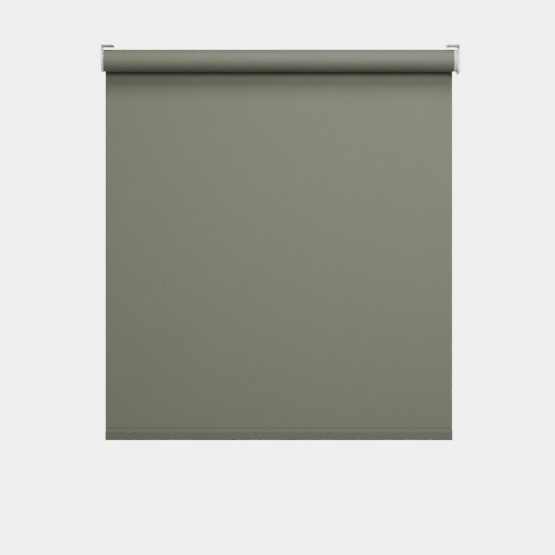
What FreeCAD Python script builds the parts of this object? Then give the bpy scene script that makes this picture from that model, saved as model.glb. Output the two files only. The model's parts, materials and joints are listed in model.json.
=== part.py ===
# Roller blind, driven by a rechargeable tubular motor hidden in its tube, hung in a window recess.
#
# Frame, in millimetres: +X along the roller to the motor end, +Y towards the window, +Z up.
# The origin is on the recess head, half-way between the two recess walls and above the roller axis,
# so the whole blind hangs below z = 0. Two pressed steel brackets carry it. The idle bracket holds a
# sprung pin in a plastic bearing. The drive bracket holds the square spigot of the motor head. The
# motor, its cells, its board and a three-stage planetary gearbox stay still inside one steel tube,
# and the gearbox turns a drive wheel that is keyed to the aluminium roller tube. The fabric is wound
# on the tube, leaves it at the back and ends in a pocket with a flat hem bar.
#
# Shapes along the roller are given by x0 and x1 and lie round the roller axis unless they say otherwise.

import FreeCAD
import Part

import os
from math import acos, cos, degrees, hypot, pi, radians, sin, tan

# ---------------------------------------------------------------- driving dimensions
BLIND_WIDTH = 850.0  # recess wall to recess wall
IDLE_GAP = 6.0  # recess wall to fabric edge, idle end
DRIVE_GAP = 13.0  # recess wall to fabric edge, motor end
AXIS_DROP = 36.0  # recess head to roller axis
DROP = 905.0  # roller axis to the bottom of the hem
HEM_HEIGHT = 21.0  # from the bottom of the hem to its shoulder
HEM_DEPTH = 6.4
HEM_LEAN = 6.0  # above the shoulder, over which the front cloth leans back to the seam
WELD_HEIGHT = 3.0  # flat seam that closes the hem pocket
BAR_PLAY = 0.2  # between the hem bar and its pocket
BAR_RISE = 1.2  # of the hem bar above the shoulder
BAR_WALL = 1.0
CAP_PLATE, CAP_PLUG = 1.5, 10.0  # the hem bar's end caps: plate thickness, plug length
FABRIC = 0.45  # cloth thickness
ROLL_R = 27.0  # roller axis to the back of the hanging cloth
ROLL_GAP = 0.3  # between the roll and the hanging cloth
TUBE_R = 25.0
TUBE_WALL = 1.5
KEY_WIDTH = 3.0  # the two ribs inside the roller tube
KEY_HEIGHT = 2.5
TAPE = 0.2  # fabric tape thickness

PLATE = 2.0  # bracket steel
PLATE_HALF = 25.0  # half the bracket's width
FLANGE_REACH = 30.0  # of the top flange, from the wall
SCREW_R = 2.25  # clearance hole for a 4 mm screw
TOP_SCREW_REACH = 17.0  # from the wall to the screws in the top flange
SCREW_HALF = 15.0  # half the distance between a bracket's two screws
SIDE_SCREW_DROP = 7.0  # from the recess head to the screws in the upright plate
FLANGE_CORNER = 6.0
GUSSET_REACH, GUSSET_WIDTH = 4.0, 3.0
BUSH_R, BUSH_FLANGE_R, BUSH_FLANGE = 6.0, 8.0, 1.6  # idle bearing, and its flange's thickness

COVER_R = 28.0  # idle cover, round; also half the drive cover's width
COVER_WALL = 1.3
IDLE_COVER_DEPTH = 4.2
DRIVE_COVER_DEPTH = 6.1
DRIVE_COVER_TOP = 10.3  # below the recess head
DRIVE_COVER_BOTTOM = 66.0
DRIVE_COVER_CORNER = 8.0
COVER_EDGE = 1.0  # radius round a cover's rim
SPIGOT_OPENING = 11.0  # in the drive cover, round the motor head's spigot

LATCH_HALF, LATCH_TAB = 10.0, 12.0  # half the latch's width, and the width of its thumb tab
LATCH_TOP, LATCH_BOTTOM = -2.0, -22.0  # of its plate, from the roller axis
LATCH_GRIP_R = 1.2
LATCH_SPRING_R, LATCH_WIRE, LATCH_SPRING_TURNS = 0.75, 0.35, 8
GUIDE = 1.6  # thickness of the cover's two latch guides

# directions round the motor head's rim, from +Y towards +Z
BUTTON_AT, LENS_AT, PORT_AT = radians(-118.0), radians(-104.0), radians(-80.0)
BUTTON_R, BUTTON_FOOT, BUTTON_STROKE = 1.5, 23.4, 0.5  # FOOT: how far its inner end is from the axis
LENS_R, LENS_FOOT = 0.98, 23.6
PORT_WIDTH, PORT_HEIGHT, PORT_FOOT, PORT_WALL = 7.5, 2.7, 19.5, 0.3
FLAP_WIDTH, FLAP_THICK, FLAP_HALF = 10.5, 0.9, 1.8  # FLAP_HALF: half its size along the roller
FLAP_SEAT = 25.4  # radius of the flat on the rim that the flap lies on

MOTOR_R = 17.5  # steel motor tube
MOTOR_WALL = 0.8
MODULE = 0.5  # gears
SUN_TEETH, PLANET_TEETH, RING_TEETH = 12, 21, 54
PRESSURE = radians(25.0)
ADDENDUM, DEDENDUM = 0.85, 1.15  # in modules
THINNING = 0.06  # taken off each tooth's thickness, half of the backlash
STAGES = 3
STAGE_PITCH = 16.0
PLANET_PIN_R = 1.5
SHAFT_R = 1.5  # motor shaft
BEARING_R = 3.0  # motor bearing
OUTPUT_SHAFT_R, OUTPUT_BUSH_R, OUTPUT_BUSH = 5.0, 8.0, 12.0
WHEEL_SCREW_R, WHEEL_SCREW = 1.6, 14.0  # hole in the output shaft's end
WINDING_SLOTS = 5
STACK_R, STACK_X0, STACK_X1 = 8.0, 52.0, 80.0  # laminations
WINDING_R, WINDING_BORE, WINDING_END = 7.2, 2.4, 3.5
MAGNET_BORE = 8.6
COMMUTATOR_R, COMMUTATOR_X0, COMMUTATOR_X1 = 3.4, 84.5, 89.5
RUNNING = 0.05  # radial clearance where something turns

# ---------------------------------------------------------------- derived places
WALL = BLIND_WIDTH / 2
AXIS_Z = -AXIS_DROP
FABRIC_X0 = -WALL + IDLE_GAP
FABRIC_X1 = WALL - DRIVE_GAP
HEM_BOTTOM = AXIS_Z - DROP
HEM_TOP = HEM_BOTTOM + HEM_HEIGHT
SEAM = HEM_TOP + HEM_LEAN
WELD_TOP = SEAM + WELD_HEIGHT
BAR_FRONT = ROLL_R - HEM_DEPTH + FABRIC + BAR_PLAY
BAR_BACK = ROLL_R - FABRIC - BAR_PLAY
BAR_Z0, BAR_Z1 = HEM_BOTTOM + FABRIC + BAR_PLAY, HEM_TOP + BAR_RISE
TUBE_X0, TUBE_X1 = FABRIC_X0 - 0.4, FABRIC_X1 + 0.2
TUBE_BORE = TUBE_R - TUBE_WALL
ADAPTER_R = TUBE_BORE - 0.1  # plugs and wheels that fit the roller tube
CROWN_FLANGE = 1.6
HEAD_X0, HEAD_X1 = TUBE_X1 + CROWN_FLANGE + 0.4, WALL - DRIVE_COVER_DEPTH - 0.5
HEAD_R = 26.5
RIM_X = (HEAD_X0 + HEAD_X1) / 2
BARREL_R, BARREL_X0 = 20.0, 396.0  # the motor head's neck, on which the crown turns
CLIP_R, CLIP_X0, CLIP_X1, CLIP_GAP = 18.6, 396.6, 397.7, 9.0  # the circlip in the neck's groove
INSERT_X0 = 380.0  # the part of the motor head that fits in the motor tube
HEAD_SCREW_X, HEAD_SCREW_R, HEAD_SCREW_DEPTH = 388.0, 1.25, 3.6
WIRE_ROOM_R, WIRE_ROOM_X1 = 12.0, 410.0  # hollow of the motor head
SPIGOT = 12.0  # square, held in the drive bracket
SPIGOT_NECK = 9.0  # across the groove that the latch grips
LATCH_FORK = AXIS_Z - SPIGOT / 2 - 0.6  # the bottom of the latch's slot
MOTOR_BORE = MOTOR_R - MOTOR_WALL
INSERT_R = MOTOR_BORE - 0.05  # what fits inside the motor tube
MOTOR_X0, MOTOR_X1 = -46.0, BARREL_X0
CELL_R, CELL_LENGTH, CELLS = 9.2, 65.0, 3
CELLS_X1 = 296.0
CELL_TIP_R = 3.0
BOARD_X0, BOARD_X1, BOARD_HALF, BOARD = 300.0, 378.0, 16.2, 1.6  # BOARD: its thickness
TRAY_WALL = 1.5
CAN_R, CAN_X0, CAN_X1, CAN_WALL = 13.8, 42.0, 94.0, 1.2
RING_X0, RING_X1 = -12.0, 38.0
FIRST_PLANETS_X1 = 35.0
PLANET_WIDTH = 8.0
CARRIER_R, CARRIER_WIDTH = 12.4, 4.0
PLANET_ORBIT = MODULE * (SUN_TEETH + PLANET_TEETH) / 2
WHEEL_X0, WHEEL_X1 = -74.0, -54.0
SHAFT_SQUARE = 7.0
PIN_R, PIN_TIP = 3.0, -WALL + 0.6
PIN_COLLAR_X0, PIN_COLLAR_X1 = -411.5, -408.5
PIN_TAIL_R = 2.0
PLUG_COLLAR_X1, PLUG_X1 = -412.0, -376.0
PLUG_CORE_R = 10.0  # where the idle plug's fins begin
PIN_CHAMBER_R = 5.2
PIN_SPRING_R, PIN_WIRE, PIN_SPRING_TURNS = 3.7, 0.8, 9
CHAMBER_CAP = 4.0  # thickness of the ring that closes the pin's chamber


# ---------------------------------------------------------------- helpers
def vec(x, y, z):
    return FreeCAD.Vector(x, y, z)


def rod(radius, x0, x1, y=0.0, z=0.0):
    """A cylinder along X. y and z are measured from the roller axis."""
    return Part.makeCylinder(radius, x1 - x0, vec(x0, y, AXIS_Z + z), vec(1, 0, 0))


def ring(outer, inner, x0, x1, y=0.0, z=0.0):
    return rod(outer, x0, x1, y, z).cut(rod(inner, x0 - 1, x1 + 1, y, z))


def block(x0, x1, y0, y1, z0, z1):
    """A box between two corners of the row frame."""
    return Part.makeBox(x1 - x0, y1 - y0, z1 - z0, vec(x0, y0, z0))


def bar(x0, x1, half_y, half_z):
    """A box along X, centred on the roller axis."""
    return block(x0, x1, -half_y, half_y, AXIS_Z - half_z, AXIS_Z + half_z)


def turned(shape, angle):
    """The shape turned about the roller axis by an angle in radians, from +Y towards +Z."""
    return shape.copy().rotate(vec(0, 0, AXIS_Z), vec(1, 0, 0), degrees(angle))


def around(shape, count):
    return [turned(shape, 2 * pi * i / count) for i in range(count)]


def fused(first, others):
    return first.multiFuse(list(others)).removeSplitter()


def inward(side, u0, u1):
    """The x range from u0 to u1 inside the recess wall on a side: -1 is the idle end, 1 the drive end."""
    return sorted((side * (WALL - u0), side * (WALL - u1)))


def extruded(edges, x0, x1):
    """A solid along X from edges of a closed outline in the plane x = 0."""
    face = Part.Face(Part.Wire(edges))
    return face.extrude(vec(x1 - x0, 0, 0)).translate(vec(x0, 0, 0))


def line(a, b):
    return Part.LineSegment(vec(0, *a), vec(0, *b)).toShape()


def arc(a, middle, b):
    return Part.Arc(vec(0, *a), vec(0, *middle), vec(0, *b)).toShape()


def polar(radius, angle, centre=(0.0, AXIS_Z)):
    """(y, z) at a radius from a centre and an angle from +Y towards +Z."""
    return centre[0] + radius * cos(angle), centre[1] + radius * sin(angle)


def slab_outline(y0, y1, z0, z1, corner):
    """A rectangle with round corners, as edges."""
    centres = ((y1 - corner, z1 - corner, 0), (y0 + corner, z1 - corner, 1),
               (y0 + corner, z0 + corner, 2), (y1 - corner, z0 + corner, 3))
    edges, previous = [], None
    for y, z, quarter in centres:
        a, b, c = (polar(corner, pi / 2 * (quarter + k / 2), (y, z)) for k in (0, 1, 2))
        if previous:
            edges.append(line(previous, a))
        edges.append(arc(a, b, c))
        previous = c
    first = polar(corner, 0, centres[0][:2])
    if abs(previous[1] - first[1]) > 1e-6 or abs(previous[0] - first[0]) > 1e-6:
        edges.append(line(previous, first))
    return edges


def rounded(shape, radius, chosen):
    """Fillets the edges for which chosen(edge) is true."""
    return shape.makeFillet(radius, [e for e in shape.Edges if chosen(e)])


def on_plane(x):
    """True for an edge that lies in the plane at this x."""
    return lambda e: abs(e.BoundBox.XMin - x) < 1e-4 and abs(e.BoundBox.XMax - x) < 1e-4


def keyways():
    """The two rib slots that every part inside the roller tube has."""
    deep = KEY_HEIGHT + 0.4
    slot = block(-WALL, WALL, -KEY_WIDTH / 2 - 0.15, KEY_WIDTH / 2 + 0.15,
                 AXIS_Z + TUBE_BORE - deep, AXIS_Z + TUBE_R)
    return Part.makeCompound(around(slot, 2))


# ---------------------------------------------------------------- gears
def involute(angle):
    return tan(angle) - angle


def gear_outline(teeth, tip, root, thickness_change):
    """Edges of a spur gear about the roller axis, with a tooth centred on +Y. tip and root are radii."""
    pitch_r = MODULE * teeth / 2
    base_r = pitch_r * cos(PRESSURE)
    start = max(base_r, root)
    half = pi / (2 * teeth) + thickness_change / (2 * pitch_r)

    def flank(radius):
        return half + involute(PRESSURE) - involute(acos(min(1.0, base_r / radius)))

    middle = (start + tip) / 2
    pitch = 2 * pi / teeth
    edges = []
    for k in range(teeth):
        at = k * pitch
        if start > root + 1e-6:
            edges.append(line(polar(root, at - flank(start)), polar(start, at - flank(start))))
        edges.append(arc(polar(start, at - flank(start)), polar(middle, at - flank(middle)),
                         polar(tip, at - flank(tip))))
        edges.append(arc(polar(tip, at - flank(tip)), polar(tip, at), polar(tip, at + flank(tip))))
        edges.append(arc(polar(tip, at + flank(tip)), polar(middle, at + flank(middle)),
                         polar(start, at + flank(start))))
        if start > root + 1e-6:
            edges.append(line(polar(start, at + flank(start)), polar(root, at + flank(start))))
        edges.append(arc(polar(root, at + flank(start)), polar(root, at + pitch / 2),
                         polar(root, at + pitch - flank(start))))
    return edges


def gear(teeth, x0, x1):
    pitch_r = MODULE * teeth / 2
    return extruded(gear_outline(teeth, pitch_r + ADDENDUM * MODULE, pitch_r - DEDENDUM * MODULE, -THINNING),
                    x0, x1)


def stage_x1(stage):
    """The motor-side face of a stage's planets, counting stages from 0 at the motor."""
    return FIRST_PLANETS_X1 - stage * STAGE_PITCH


def planet(stage, number):
    x1 = stage_x1(stage)
    x0 = x1 - PLANET_WIDTH
    wheel = gear(PLANET_TEETH, x0, x1).cut(rod(PLANET_PIN_R + RUNNING, x0 - 1, x1 + 1))
    wheel.translate(vec(0, PLANET_ORBIT, 0))
    return turned(wheel, 2 * pi * number / 3)


def carrier(stage):
    """A planet carrier: a disc with three pins towards the motor, and no output side yet."""
    pins_x1 = stage_x1(stage) + 0.5
    disc_x1 = stage_x1(stage) - PLANET_WIDTH - 1.0
    disc = rod(CARRIER_R, disc_x1 - CARRIER_WIDTH, disc_x1)
    pins = around(rod(PLANET_PIN_R, disc_x1 - 1, pins_x1, y=PLANET_ORBIT), 3)
    return fused(disc, pins), disc_x1 - CARRIER_WIDTH


def geared_carrier(stage):
    """A carrier with the next stage's sun gear on its output side."""
    body, face = carrier(stage)
    sun_x0 = stage_x1(stage + 1) - PLANET_WIDTH - 0.5
    return fused(body, [gear(SUN_TEETH, sun_x0, face + 0.5)])


def output_carrier():
    """The last carrier, with the shaft that leaves the motor tube and ends in a square."""
    body, face = carrier(STAGES - 1)
    shaft = rod(OUTPUT_SHAFT_R, MOTOR_X0 - 3, face + 0.5)
    square = bar(WHEEL_X0 - 2, MOTOR_X0 - 2, SHAFT_SQUARE / 2, SHAFT_SQUARE / 2)
    return fused(body, [shaft, square]).cut(rod(WHEEL_SCREW_R, WHEEL_X0 - 3, WHEEL_X0 + WHEEL_SCREW))


def ring_gear():
    pitch_r = MODULE * RING_TEETH / 2
    spaces = gear_outline(RING_TEETH, pitch_r + DEDENDUM * MODULE, pitch_r - ADDENDUM * MODULE, THINNING)
    return rod(INSERT_R, RING_X0, RING_X1).cut(extruded(spaces, RING_X0 - 1, RING_X1 + 1))


# ---------------------------------------------------------------- brackets and covers
def bracket(side):
    """Pressed steel angle: an upright plate with a round foot on the recess wall, and a top flange."""
    x0, x1 = inward(side, 0, PLATE)
    fx0, fx1 = inward(side, 0, FLANGE_REACH)
    plate = fused(block(x0, x1, -PLATE_HALF, PLATE_HALF, AXIS_Z, 0), [rod(PLATE_HALF, x0, x1)])
    flange = block(fx0, fx1, -PLATE_HALF, PLATE_HALF, -PLATE, 0)
    end = side * (WALL - FLANGE_REACH)
    flange = rounded(flange, FLANGE_CORNER, lambda e: abs(e.BoundBox.XMin - end) < 1e-4
                     and abs(e.BoundBox.XMax - end) < 1e-4 and e.BoundBox.ZLength > 1)
    ribs = [gusset(side, y) for y in (-PLATE_HALF / 3, PLATE_HALF / 3)]
    shape = fused(plate, [flange] + ribs)
    for y in (-SCREW_HALF, SCREW_HALF):
        top_hole = vec(side * (WALL - TOP_SCREW_REACH), y, -2 * PLATE)
        shape = shape.cut(Part.makeCylinder(SCREW_R, 3 * PLATE, top_hole))
        shape = shape.cut(rod(SCREW_R, x0 - 1, x1 + 1, y, AXIS_DROP - SIDE_SCREW_DROP))
    return shape


def gusset(side, y):
    """A small pressed rib that stiffens the bend."""
    corner = side * (WALL - PLATE)
    y0 = y - GUSSET_WIDTH / 2
    points = [vec(corner, y0, -PLATE), vec(corner - side * GUSSET_REACH, y0, -PLATE),
              vec(corner, y0, -PLATE - GUSSET_REACH)]
    return Part.Face(Part.makePolygon(points + points[:1])).extrude(vec(0, GUSSET_WIDTH, 0))


def idle_bracket():
    x0, x1 = inward(-1, 0, PLATE)
    return bracket(-1).cut(rod(BUSH_R, x0 - 1, x1 + 1))


def drive_bracket():
    x0, x1 = inward(1, 0, PLATE)
    hole = SPIGOT / 2 + 0.2
    return bracket(1).cut(bar(x0 - 1, x1 + 1, hole, hole))


def plate_slot(side, depth):
    """The room that a cover leaves for the bracket's upright plate."""
    x0, x1 = inward(side, -1, depth)
    half = PLATE_HALF + 0.3
    return fused(block(x0, x1, -half, half, AXIS_Z, 0), [rod(half, x0, x1)])


def idle_cover():
    """A shallow round cap over the idle bracket, open to the wall and notched for the plate."""
    x0, x1 = inward(-1, 0, IDLE_COVER_DEPTH)
    cap = rounded(rod(COVER_R, x0, x1), COVER_EDGE, on_plane(x1))
    hollow = rod(COVER_R - COVER_WALL, x0 - 1, x1 - COVER_WALL)
    return cap.cut(hollow).cut(plate_slot(-1, PLATE + 0.2)).cut(rod(BUSH_FLANGE_R + 0.2, x0, x1 + 1))


def drive_cover():
    """A square cap with round corners over the drive bracket, with a hole for the latch's thumb tab."""
    x0, x1 = inward(1, 0, DRIVE_COVER_DEPTH)
    edges = slab_outline(-COVER_R, COVER_R, -DRIVE_COVER_BOTTOM, -DRIVE_COVER_TOP, DRIVE_COVER_CORNER)
    cap = rounded(extruded(edges, x0, x1), COVER_EDGE, on_plane(x0))
    inner = slab_outline(-COVER_R + COVER_WALL, COVER_R - COVER_WALL, -DRIVE_COVER_BOTTOM + COVER_WALL,
                         -DRIVE_COVER_TOP - COVER_WALL, DRIVE_COVER_CORNER - COVER_WALL)
    cap = cap.cut(extruded(inner, x0 + COVER_WALL, x1 + 1)).cut(plate_slot(1, PLATE + 0.2))
    cap = cap.cut(rod(SPIGOT_OPENING, x0 - 1, x1))
    for y in (-LATCH_HALF - 0.4 - GUIDE, LATCH_HALF + 0.4):
        guide = block(x0 + COVER_WALL - 0.1, x1 - PLATE - 0.4, y, y + GUIDE,
                      -DRIVE_COVER_BOTTOM + 1, AXIS_Z - SPIGOT)
        cap = fused(cap, [guide])
    lx0, lx1 = latch_range()
    tab_hole = block(lx0 - 0.2, lx1 + 0.2, -LATCH_TAB / 2 - 0.3, LATCH_TAB / 2 + 0.3,
                     -DRIVE_COVER_BOTTOM - 1, -DRIVE_COVER_BOTTOM + 2)
    return cap.cut(tab_hole)


def latch_range():
    return inward(1, PLATE + 0.4, PLATE + 2.2)


def drive_latch():
    """A forked slide that grips the groove in the motor head's spigot, pulled down by its tab to let go."""
    x0, x1 = latch_range()
    top, bottom = AXIS_Z + LATCH_TOP, AXIS_Z + LATCH_BOTTOM
    plate = block(x0, x1, -LATCH_HALF, LATCH_HALF, bottom, top)
    tab = block(x0, x1, -LATCH_TAB / 2, LATCH_TAB / 2, -DRIVE_COVER_BOTTOM - 3.0, bottom + 1)
    foot = vec((x0 + x1) / 2, -LATCH_TAB / 2, -DRIVE_COVER_BOTTOM - 2.6)
    grip = Part.makeCylinder(LATCH_GRIP_R, LATCH_TAB, foot, vec(0, 1, 0))
    half = SPIGOT_NECK / 2 + 0.2
    return fused(plate, [tab, grip]).cut(block(x0 - 1, x1 + 1, -half, half, LATCH_FORK, top + 1))


def coil_spring(coil_r, wire, length, turns):
    """A helical spring of square wire that stands on z = 0 along +Z, round the Z axis."""
    rise = length - wire
    helix = Part.makeHelix(rise / turns, rise, coil_r)
    half = wire / 2
    corners = [vec(coil_r + a * half, 0, b * half) for a, b in ((-1, -1), (1, -1), (1, 1), (-1, 1))]
    section = Part.makePolygon(corners + corners[:1])
    spring = Part.Wire(helix.Edges).makePipeShell([section], True, True)
    return spring.translate(vec(0, 0, half))


def latch_springs():
    """Two small springs that stand on the cover's floor and push the latch up."""
    x0, x1 = latch_range()
    floor = -DRIVE_COVER_BOTTOM + COVER_WALL + 0.02
    length = AXIS_Z + LATCH_BOTTOM - 0.02 - floor
    out = LATCH_HALF - 1.8
    springs = [coil_spring(LATCH_SPRING_R, LATCH_WIRE, length, LATCH_SPRING_TURNS).translate(
        vec((x0 + x1) / 2, y, floor)) for y in (-out, out)]
    return Part.makeCompound(springs)


def idle_bearing():
    """The plastic bush in the idle bracket, in which the pin turns."""
    x0, x1 = inward(-1, 0.2, PLATE)
    flange_x1 = x1 + BUSH_FLANGE
    bush = fused(rod(BUSH_R, x0, x1), [rod(BUSH_FLANGE_R, x1, flange_x1)])
    return bush.cut(rod(PIN_R + RUNNING, x0 - 1, flange_x1 + 1))


# ---------------------------------------------------------------- motor head
def radial_rod(radius, r0, r1, x=RIM_X):
    """A cylinder that points along +Y, from r0 to r1 from the roller axis."""
    return Part.makeCylinder(radius, r1 - r0, vec(x, r0, AXIS_Z), vec(0, 1, 0))


def radial_block(half_x, r0, r1, half_z):
    """A box that points along +Y from the roller axis, at the middle of the motor head's rim."""
    return block(RIM_X - half_x, RIM_X + half_x, r0, r1, AXIS_Z - half_z, AXIS_Z + half_z)


def motor_head():
    """The rim with its button, lens and socket, the neck that carries the crown, and the square spigot."""
    disc = rounded(rod(HEAD_R, HEAD_X0, HEAD_X1), 0.8, lambda e: e.Length > 100)
    groove = ring(BARREL_R + 1, CLIP_R - 0.1, CLIP_X0 - 0.1, CLIP_X1 + 0.1)
    barrel = rod(BARREL_R, BARREL_X0, HEAD_X0 + 1).cut(groove)
    insert = rod(INSERT_R, INSERT_X0, BARREL_X0 + 0.5)
    spigot = bar(HEAD_X1 - 1, WALL - 0.4, SPIGOT / 2, SPIGOT / 2)
    neck_x0, neck_x1 = inward(1, PLATE + 0.2, PLATE + 2.4)
    notch = block(neck_x0, neck_x1, SPIGOT_NECK / 2, SPIGOT, AXIS_Z - SPIGOT, AXIS_Z + SPIGOT)
    spigot = spigot.cut(notch).cut(turned(notch, pi))
    head = fused(disc, [barrel, insert, spigot]).cut(rod(WIRE_ROOM_R, INSERT_X0 - 1, WIRE_ROOM_X1))
    button_hole = radial_rod(BUTTON_R + 0.1, BUTTON_FOOT - BUTTON_STROKE - 0.4, HEAD_R + 1)
    lens_hole = radial_rod(LENS_R + 0.02, LENS_FOOT - 0.1, HEAD_R + 1)
    seat = block(RIM_X - FLAP_HALF - 0.1, RIM_X + FLAP_HALF + 0.1, FLAP_SEAT, HEAD_R + 1,
                 AXIS_Z - FLAP_WIDTH / 2 - 1.6, AXIS_Z + FLAP_WIDTH / 2 + 0.2)
    port = radial_block(PORT_HEIGHT / 2, PORT_FOOT, HEAD_R + 1, PORT_WIDTH / 2)
    for cutter, angle in ((button_hole, BUTTON_AT), (lens_hole, LENS_AT), (seat, PORT_AT), (port, PORT_AT)):
        head = head.cut(turned(cutter, angle))
    return head


def set_button():
    cap = rounded(radial_rod(BUTTON_R, BUTTON_FOOT, HEAD_R + 0.6), 0.4, lambda e: e.BoundBox.YMin > HEAD_R)
    return turned(cap, BUTTON_AT)


def status_lens():
    return turned(radial_rod(LENS_R, LENS_FOOT, HEAD_R - 0.1), LENS_AT)


def charge_port():
    """A metal socket shell with its contact tongue."""
    shell = radial_block(PORT_HEIGHT / 2, PORT_FOOT, FLAP_SEAT - 0.1, PORT_WIDTH / 2)
    hollow = radial_block(PORT_HEIGHT / 2 - PORT_WALL, PORT_FOOT + PORT_WALL, FLAP_SEAT + 1,
                          PORT_WIDTH / 2 - PORT_WALL)
    tongue = radial_block(0.35, PORT_FOOT, FLAP_SEAT - 1.2, 2.4)
    return turned(fused(shell.cut(hollow), [tongue]), PORT_AT)


def port_flap():
    """A rubber flap over the socket, with its hinge roll at one end."""
    leaf = radial_block(FLAP_HALF, FLAP_SEAT + 0.05, FLAP_SEAT + FLAP_THICK, FLAP_WIDTH / 2)
    roll = rod(0.5, RIM_X - FLAP_HALF, RIM_X + FLAP_HALF, FLAP_SEAT + 0.55, -FLAP_WIDTH / 2)
    return turned(fused(leaf, [roll]), PORT_AT)


def crown():
    """The ring that turns on the motor head's neck and carries the motor end of the roller tube."""
    sleeve = rod(ADAPTER_R, CLIP_X1 + 0.5, TUBE_X1 + 0.5).cut(keyways())
    flange = rounded(rod(HEAD_R, TUBE_X1, TUBE_X1 + CROWN_FLANGE), 0.4, lambda e: e.Length > 100)
    return fused(flange, [sleeve]).cut(rod(BARREL_R + RUNNING, CLIP_X1, HEAD_X0 + 1))


def crown_circlip():
    """The clip in the neck's groove that keeps the crown on. Its gap is at the bottom."""
    clip = ring(TUBE_BORE - KEY_HEIGHT - 0.2, CLIP_R, CLIP_X0, CLIP_X1)
    gap = block(CLIP_X0 - 1, CLIP_X1 + 1, -CLIP_GAP / 2, CLIP_GAP / 2, AXIS_Z - TUBE_R, AXIS_Z)
    return clip.cut(gap)


def head_screws():
    """Two screws through the motor tube into the head's insert, one on each side."""
    shank = radial_rod(HEAD_SCREW_R, MOTOR_BORE - HEAD_SCREW_DEPTH, MOTOR_R + 0.3, HEAD_SCREW_X)
    head = radial_rod(2.3, MOTOR_R, MOTOR_R + 1.1, HEAD_SCREW_X)
    return Part.makeCompound(around(fused(shank, [head]), 2))


def screw_holes(shape):
    """Cuts the holes that head_screws fill."""
    hole = radial_rod(HEAD_SCREW_R, MOTOR_BORE - HEAD_SCREW_DEPTH, MOTOR_R + 1, HEAD_SCREW_X)
    for cutter in around(hole, 2):
        shape = shape.cut(cutter)
    return shape


# ---------------------------------------------------------------- motor, cells, board
def motor_tube():
    return screw_holes(ring(MOTOR_R, MOTOR_BORE, MOTOR_X0, MOTOR_X1))


def board_tray():
    """The half shell that carries the control board in the motor tube."""
    shell = ring(INSERT_R, INSERT_R - TRAY_WALL, BOARD_X0 - 1, BOARD_X1 + 1)
    return shell.common(block(BOARD_X0 - 1, BOARD_X1 + 1, -MOTOR_R, MOTOR_R, AXIS_Z - MOTOR_R, AXIS_Z))


def control_board():
    """The board with what stands on it as raised blocks, and two capacitors as cylinders."""
    top = AXIS_Z + BOARD
    raised = ((58, 74, -7.0, 7.0, 2.6),  # radio can: x0, x1 from the board's end, y0, y1, height
              (28, 36, -4.0, 4.0, 1.4),  # motor driver
              (1, 8, -9.0, 9.0, 5.0),  # battery socket
              (42, 50, -10.0, -4.0, 3.0))  # motor socket
    parts = [block(BOARD_X0 + a, BOARD_X0 + b, y0, y1, top, top + high) for a, b, y0, y1, high in raised]
    parts += [Part.makeCylinder(3.1, 7.5, vec(BOARD_X0 + 17, y, top)) for y in (-6.0, 6.0)]
    return fused(block(BOARD_X0, BOARD_X1, -BOARD_HALF, BOARD_HALF, AXIS_Z, top), parts)


def cell_ranges():
    for i in range(CELLS):
        x1 = CELLS_X1 - i * (CELL_LENGTH + 0.4)
        yield x1 - CELL_LENGTH, x1


def battery_cells():
    cells = []
    for x0, x1 in cell_ranges():
        can = rounded(rod(CELL_R, x0, x1 - 1.5), 0.8, lambda e: e.Length > 30)
        cells.append(fused(can, [rod(CELL_TIP_R, x1 - 2, x1)]))
    return Part.makeCompound(cells)


def cells_x0():
    return min(x0 for x0, _ in cell_ranges())


def battery_sleeve():
    return ring(CELL_R + 0.9, CELL_R + 0.1, cells_x0() - 1.5, CELLS_X1 + 1.5)


def battery_spacers():
    """Four notched rings that centre the cells in the motor tube."""
    first, last = cells_x0() + 6, CELLS_X1 - 6
    notch = block(-WALL, WALL, 12.0, 20.0, AXIS_Z - 3, AXIS_Z + 3)
    rings = []
    for i in range(4):
        x = first + i * (last - first) / 3
        spacer = ring(INSERT_R, CELL_R + 0.95, x - 3, x + 3)
        for cutter in around(notch, 3):
            spacer = spacer.cut(cutter)
        rings.append(spacer)
    return Part.makeCompound(rings)


def motor_can():
    """The drawn steel can of the DC motor, open at the end-bell side."""
    can = rounded(rod(CAN_R, CAN_X0, CAN_X1), CAN_WALL, on_plane(CAN_X0))
    can = can.cut(rod(CAN_R - CAN_WALL, CAN_X0 + 1.5, CAN_X1 + 1))
    return can.cut(rod(BEARING_R, CAN_X0 - 1, CAN_X0 + 3))


def motor_magnets():
    """Two curved magnets inside the can."""
    whole = ring(CAN_R - CAN_WALL, MAGNET_BORE, STACK_X0, STACK_X1)
    gap = block(STACK_X0 - 1, STACK_X1 + 1, -CAN_R, CAN_R, AXIS_Z - 3.5, AXIS_Z + 3.5)
    return whole.cut(gap)


def end_bell():
    """The plastic end of the motor, with its bearing and two terminals."""
    plug = rod(CAN_R - CAN_WALL - 0.05, CAN_X1 - 4, CAN_X1)
    cap = rod(CAN_R, CAN_X1, CAN_X1 + 2.5)
    tags = [block(CAN_X1 + 2, CAN_X1 + 5, y - 0.4, y + 0.4, AXIS_Z - 1.5, AXIS_Z + 1.5) for y in (-7.0, 7.0)]
    return fused(plug, [cap] + tags).cut(rod(SHAFT_R + RUNNING, CAN_X1 - 5, CAN_X1 + 1.5))


def motor_mount():
    """The plate between the gearbox and the motor can."""
    return ring(INSERT_R, BEARING_R, RING_X1, CAN_X0)


def front_bearing():
    return ring(BEARING_R, SHAFT_R + RUNNING, RING_X1 + 0.5, CAN_X0 + 1.5)


def armature():
    """The stack of slotted laminations."""
    stack = ring(STACK_R, SHAFT_R, STACK_X0, STACK_X1)
    slot = block(STACK_X0 - 1, STACK_X1 + 1, STACK_R / 2, STACK_R + 1, AXIS_Z - 0.9, AXIS_Z + 0.9)
    for cutter in around(slot, WINDING_SLOTS):
        stack = stack.cut(cutter)
    return stack


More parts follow.
